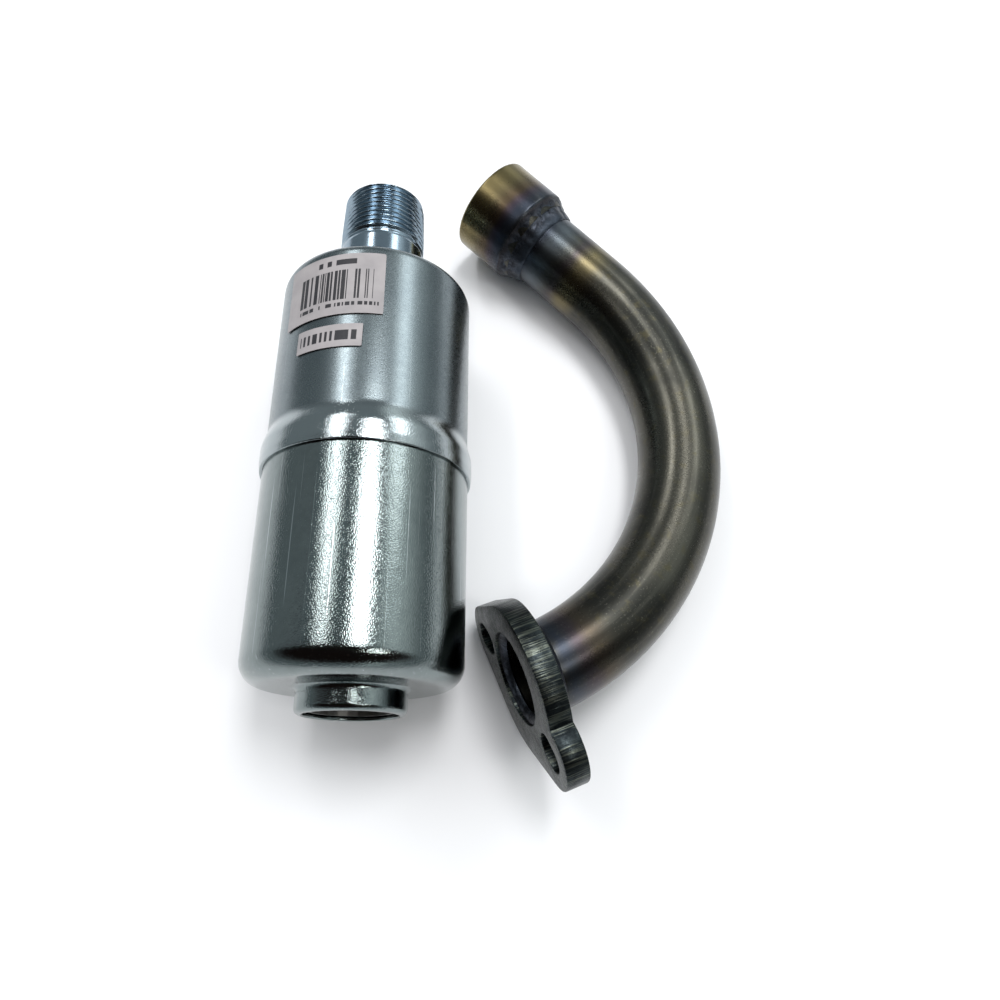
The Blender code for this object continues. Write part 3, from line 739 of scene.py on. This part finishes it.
couplingMesh = turn(couplingOutline(), coupling["segments"])
for v in couplingMesh.verts:
    radius, angle = polar(v.co)
    run, end = v.co.y, coupling["threadLength"]
    inSkin = coupling["threadSkin"] < radius < coupling["mouth"] + 0.02 * mm
    if inSkin and 0.7 * mm < run < end + 0.1 * mm:
        crest = threadHeight(run / nipple["pitch"] - angle / math.tau)
        fade = smoothStep(end, end - 2.5 * mm, run)
        root = coupling["threadRadius"] - run / nipple["taper"]
        setRadius(v, root - coupling["threadDepth"] * (crest * fade + 1.0 - fade))
couplingSteel = makeHeatSteel("couplingSteel", [
    ("straw", -0.020, 0.003, 0.015, 0.95),
    ("bronze", 0.006, 0.011, 0.016, 0.55),
    ("purple", 0.011, 0.014, 0.018, 0.60),
    ("blue", 0.013, 0.0175, 0.023, 0.60),
])
addPiece("coupling", couplingMesh, couplingPlace, "header", couplingSteel, ["coupling"],
         50)


# welds

weldTone = {
    "crust": (0.060, 0.068, 0.085),
    "dark": (0.020, 0.022, 0.028),
    "grain": (0.16, 0.16, 0.17),
    # from and to along the coupling in metres, and the tint that the weld takes on there
    "couplingFades": [(0.0235, 0.0262, (0.046, 0.056, 0.072)), (0.0205, 0.0185, (0.050, 0.046, 0.050))],
}
headerBeads = {
    "inner": 12.85 * mm,
    "marksFrom": 12.8 * mm,
    "segments": 192,
    "couplingFace": 18.6 * mm,
    "couplingMarksFace": 18.4 * mm,
    "couplingBack": 26.6 * mm,
    "couplingMarks": {"height": 0.42 * mm, "lumps": 3.2, "ripples": 15, "seed": 2.0},
    "flangeFace": -0.1 * mm,
    "flangeLeg": 3.1 * mm,
    "flangeMarks": {"height": 0.32 * mm, "lumps": 3.0, "ripples": 17, "seed": 9.0},
    "boreSegments": 160,
    # the bore's bead in mm: its radius, and how far along it lies from the flange's back
    "boreSkin": [(12.85, 3.75), (12.85, 5.7), (12.2, 5.55), (11.6, 5.1), (11.1, 4.5), (10.9, 3.9)],
}


def makeWeldSteel(name, fades=()):
    material, tree, shader = startMaterial(name, weldTone["crust"], 0.4)
    plain = pieceSpace(tree)
    scale = noiseAt(tree, plain, 420, 5, 0.65, 0.6)
    grain = noiseAt(tree, plain, 1700, 3, 0.6)
    dirt = remap(tree, scale, 0.38, 0.62, 0, 1, True)
    tone = blendColour(tree, dirt, weldTone["crust"], weldTone["dark"])
    tone = blendColour(tree, remap(tree, grain, 0.58, 0.75, 0, 0.5), tone, weldTone["grain"])
    along = alongPiece(tree, plain)
    along = combine(tree, "ADD", along, combine(tree, "MULTIPLY_ADD", scale, 0.006, -0.003))
    for start, end, into in fades:
        tone = blendColour(tree, remap(tree, along, start, end, 0, 1, True), tone, into)
    tree.links.new(tone, shader.inputs["Base Color"])
    tree.links.new(remap(tree, scale, 0.3, 0.7, 0.32, 0.58), shader.inputs["Roughness"])
    crust = bumpFrom(tree, scale, 0.5, 0.0003)
    tree.links.new(bumpFrom(tree, grain, 0.3, 0.0001, crust), shader.inputs["Normal"])
    return material


def couplingBeadOutline():
    # steep beside the coupling, then a long thin tail along the tube
    inner, face = headerBeads["inner"], headerBeads["couplingFace"]
    points = [(inner, face), (15.6 * mm, face)]
    points += rows((16.2 * mm, 18.9 * mm), (14.3 * mm, 22.0 * mm), 0.5 * mm)
    points += rows((14.0 * mm, 22.6 * mm), (13.0 * mm, 26.2 * mm), 0.5 * mm)
    return points + [(inner, headerBeads["couplingBack"])]


weldSteel = makeWeldSteel("weldSteel")
couplingWeldSteel = makeWeldSteel("couplingWeldSteel", weldTone["couplingFades"])
couplingBead = turn(couplingBeadOutline(), headerBeads["segments"])
roughenBead(couplingBead, headerBeads["marksFrom"], headerBeads["couplingMarksFace"],
            **headerBeads["couplingMarks"])
addPiece("couplingWeld", couplingBead, couplingPlace, "header", couplingWeldSteel,
         ["coupling_weld"], 60)
flangeBead = turn(beadOutline(headerBeads["inner"], headerBeads["flangeLeg"], headerBeads["flangeFace"],
                              -1.0), headerBeads["segments"])
roughenBead(flangeBead, headerBeads["marksFrom"], headerBeads["flangeFace"], **headerBeads["flangeMarks"])
addPiece("flangeWeld", flangeBead, flangePlace, "header", weldSteel, ["flange_weld"], 60)
boreBead = turn([(radius * mm, along * mm) for radius, along in headerBeads["boreSkin"]],
                headerBeads["boreSegments"])
addPiece("boreWeld", boreBead, flangePlace, "header", weldSteel, ["bore_weld"], 60)
print("coupling and welds made")


# flange plate: round boss with two slotted lugs, flame-cut edge

flange = {
    "thickness": mountOffsets["flangeThickness"] * mm,
    "boss": 21.8 * mm,
    "lug": 9.9 * mm,
    "lugPlace": 21.1 * mm,
    "lugAngles": (161.1, -40.9),
    "offset": 1.1 * mm,           # of the outline from the bore, away from the bend's centre
    "slotWidth": 8.0 * mm,
    "slotLength": 10.6 * mm,
    "bore": 13.0 * mm,
    "edge": 0.45 * mm,
}


def lugOutline(inset):
    # sides follow the common tangents, but the first lug leaves the boss in a corner above
    boss, lug, place = flange["boss"] - inset, flange["lug"] - inset, flange["lugPlace"]
    corner = math.degrees(math.asin(lug / boss))
    tangent = math.degrees(math.acos((boss - lug) / place))
    first, second = flange["lugAngles"][0], flange["lugAngles"][1] + 360.0
    lugs = [(first, first - 90.0, first + tangent), (second, second - tangent, second + tangent)]
    bosses = [(first + tangent, second - tangent), (second + tangent, first + 360.0 - corner)]
    points = []
    for (angle, start, end), (leave, meet) in zip(lugs, bosses):
        a = math.radians(angle)
        points += arc((place * math.cos(a), place * math.sin(a)), lug, start, end, 40)
        points += arc((0, 0), boss, leave, meet, 60)
    return [(x - flange["offset"], z) for x, z in points]


def slotOutline(angle, inset):
    travel = (flange["slotLength"] - flange["slotWidth"]) / 2.0
    radius = flange["slotWidth"] / 2.0 + inset
    points = arc((flange["lugPlace"] + travel, 0), radius, -90, 90, 20)
    points += arc((flange["lugPlace"] - travel, 0), radius, 90, 270, 20)
    a = math.radians(angle)
    return [(x * math.cos(a) - z * math.sin(a) - flange["offset"], x * math.sin(a) + z * math.cos(a))
            for x, z in points]


def boreOutline(inset):
    return arc((0, 0), flange["bore"] + inset, 0, 360 - 360 / 96, 95)


def flangePlate():
    # each outline is drawn at six levels, with rounded edges, and bridged; caps fill between
    bm = bmesh.new()
    c, t = flange["edge"], flange["thickness"]
    levels = [(0.0, c), (0.3 * c, 0.3 * c), (c, 0.0), (t - c, 0.0), (t - 0.3 * c, 0.3 * c), (t, c)]
    caps = ([], [])
    slots = [lambda inset, angle=angle: slotOutline(angle, inset) for angle in flange["lugAngles"]]
    for outline in (lugOutline, boreOutline, *slots):
        loops = []
        for along, inset in levels:
            ring = [bm.verts.new((x, along, z)) for x, z in outline(inset)]
            loops.append([bm.edges.new(pair) for pair in zip(ring, ring[1:] + ring[:1])])
        for lower, upper in zip(loops, loops[1:]):
            bmesh.ops.bridge_loops(bm, edges=lower + upper)
        caps[0].extend(loops[0])
        caps[1].extend(loops[-1])
    for cap in caps:
        bmesh.ops.triangle_fill(bm, edges=cap, use_beauty=True)
    return bm


def makeFlangeSteel():
    material, tree, shader = startMaterial("flangeSteel", (0.075, 0.082, 0.08), 0.4)
    plain = pieceSpace(tree)
    cut = pieceSpace(tree, (1, 0.04, 1))
    lines = noiseAt(tree, cut, 2400, 2, 0.5)
    coarse = noiseAt(tree, cut, 420, 3, 0.6)
    skin = noiseAt(tree, plain, 300, 5, 0.65)
    fine = noiseAt(tree, plain, 1900, 3, 0.6)
    scale = remap(tree, skin, 0.36, 0.66, 0, 1, True)
    tone = blendColour(tree, scale, (0.031, 0.038, 0.040), (0.012, 0.015, 0.017))
    tone = blendColour(tree, remap(tree, lines, 0.50, 0.64, 0, 0.32), tone, (0.27, 0.29, 0.23))
    tree.links.new(tone, shader.inputs["Base Color"])
    tree.links.new(remap(tree, skin, 0.3, 0.7, 0.26, 0.40), shader.inputs["Roughness"])
    normal = bumpFrom(tree, lines, 0.6, 0.00018)
    normal = bumpFrom(tree, coarse, 0.45, 0.0003, normal)
    tree.links.new(bumpFrom(tree, fine, 0.15, 0.00006, normal), shader.inputs["Normal"])
    return material


addPiece("flangePlate", flangePlate(), flangePlace, "header", makeFlangeSteel(),
         ["flange_plate"], 40)
print("flange made")


# the plain pieces inside the muffler keep their solids and get a drawn-steel finish

def makePlainSteel():
    material, tree, shader = startMaterial("plainSteel", (0.35, 0.34, 0.33), 0.4)
    space = objectSpace(tree)
    drawn = objectSpace(tree, (1, 0.05, 1))
    streaks = noiseAt(tree, drawn, 700, 3, 0.6)
    soot = noiseAt(tree, space, 160, 4, 0.6)
    tone = blendColour(tree, remap(tree, soot, 0.35, 0.7), (0.36, 0.35, 0.34), (0.20, 0.19, 0.18))
    tree.links.new(tone, shader.inputs["Base Color"])
    tree.links.new(remap(tree, streaks, 0.3, 0.7, 0.3, 0.5), shader.inputs["Roughness"])
    tree.links.new(bumpFrom(tree, streaks, 0.2, 0.0001), shader.inputs["Normal"])
    return material


plainSteel = makePlainSteel()
for node in ("diffuser_tube", "diffuser_cap", "baffle_plate", "outlet_tube"):
    mesh = frame["nodes"][node].data
    mesh.materials.clear()
    mesh.materials.append(plainSteel)
print("inner pieces finished")


# floor, lights and camera

def addFloor():
    bm = bmesh.new()
    bmesh.ops.create_grid(bm, x_segments=1, y_segments=1, size=3.0)
    mesh = bpy.data.meshes.new("floor")
    bm.to_mesh(mesh)
    bm.free()
    material, tree, shader = startMaterial("paleFloor", (0.88, 0.88, 0.90), 0.55, 0.0)
    cloud = noiseAt(tree, objectSpace(tree), 6.0, 3, 0.5)
    tone = blendColour(tree, cloud, (0.90, 0.90, 0.915), (0.86, 0.865, 0.89))
    tree.links.new(tone, shader.inputs["Base Color"])
    mesh.materials.append(material)
    floor = bpy.data.objects.new("floor", mesh)
    bpy.context.scene.collection.objects.link(floor)


softboxes = {
    # turned by, reach, distance, width, length, power, colour
    "leftStrip": (-24.5, 0.66, 1.2, 0.19, 0.95, 4.8, (1.0, 1.0, 1.0)),
    "rightPanel": (13.0, 0.36, 1.2, 0.28, 0.50, 6.6, (1.0, 1.0, 1.0)),
    "farPanel": (42.0, 0.95, 1.4, 0.34, 0.80, 3.2, (0.97, 0.99, 1.0)),
    "nearPanel": (32.0, -0.33, 1.2, 0.24, 0.20, 1.7, (1.0, 1.0, 0.96)),
    "fillPanel": (-8.0, 0.15, 1.6, 2.4, 2.4, 19.0, (1.0, 1.0, 1.0)),
}
room = {
    "walls": (0.27, 0.31, 0.325),
    "pale": (1.05, 1.15, 1.15),
    "dark": (0.016, 0.011, 0.010),
}
view = {
    "lens": 27.13,
    "sensor": 36.0,
    "nearest": 5.0 * mm,
    "right": 35.68 * mm,          # right and back are from the seam
    "back": 80.81 * mm,
    "height": 231.98 * mm,
    "turn": (20.646, -0.694, -0.164),
}


def addSoftbox(name, angle, reach, distance, width, length, power, colour):
    # hung over the muffler, turned about its axis by angle from straight up; reach is along it
    data = bpy.data.lights.new(name, "AREA")
    data.shape = "RECTANGLE"
    data.size = width
    data.size_y = length
    data.energy = power
    data.color = colour
    lamp = bpy.data.objects.new(name, data)
    bpy.context.scene.collection.objects.link(lamp)
    a = math.radians(angle)
    lamp.location = seam + Vector((math.sin(a) * distance, reach, math.cos(a) * distance))
    back = (lamp.location - seam).normalized()
    side = Vector((0, 1, 0)).cross(back).normalized()
    lamp.rotation_euler = Matrix((side, back.cross(side), back)).transposed().to_euler()
    return lamp


def lightRoom():
    lamps = {name: addSoftbox(name, *box) for name, box in softboxes.items()}
    lamps["fillPanel"].visible_glossy = False          # lifts the shadows, but isn't seen in the metal
    world = bpy.data.worlds.new("room")
    bpy.context.scene.world = world
    world.use_nodes = True
    tree = world.node_tree
    # a dim room: pale overhead to the right, dark overhead at the near end, plain grey low down
    way = addNode(tree, "ShaderNodeTexCoord").outputs["Generated"]
    split = addNode(tree, "ShaderNodeSeparateXYZ", {0: way})
    around = combine(tree, "ARCTAN2", split.outputs[0], split.outputs[2])
    wall = combine(tree, "MULTIPLY", remap(tree, around, 0.45, 0.70, 0, 1, True),
                   remap(tree, around, 0.80, 1.45, 1, 0, True))
    tone = blendColour(tree, wall, room["walls"], room["pale"])
    aside = combine(tree, "POWER", combine(tree, "ADD", around, 0.35), 2.0)
    near = combine(tree, "MULTIPLY_ADD", aside, 0.18, split.outputs[1])
    near = remap(tree, near, 0.10, 0.24, 1, 0, True)
    overhead = remap(tree, split.outputs[2], 0.18, 0.38, 0, 1, True)
    tone = blendColour(tree, combine(tree, "MULTIPLY", near, overhead), tone, room["dark"])
    tree.links.new(tone, tree.nodes["Background"].inputs["Color"])
    tree.nodes["Background"].inputs["Strength"].default_value = 1.0


def addCamera():
    data = bpy.data.cameras.new("camera")
    data.lens = view["lens"]
    data.sensor_width = view["sensor"]
    data.clip_start = view["nearest"]
    camera = bpy.data.objects.new("camera", data)
    bpy.context.scene.collection.objects.link(camera)
    camera.location = (seam.x + view["right"], seam.y - view["back"], view["height"])
    camera.rotation_euler = Euler([math.radians(a) for a in view["turn"]])
    bpy.context.scene.camera = camera


addFloor()
lightRoom()
addCamera()
bpy.context.scene.view_settings.view_transform = "Standard"
print("floor, lights and camera set")
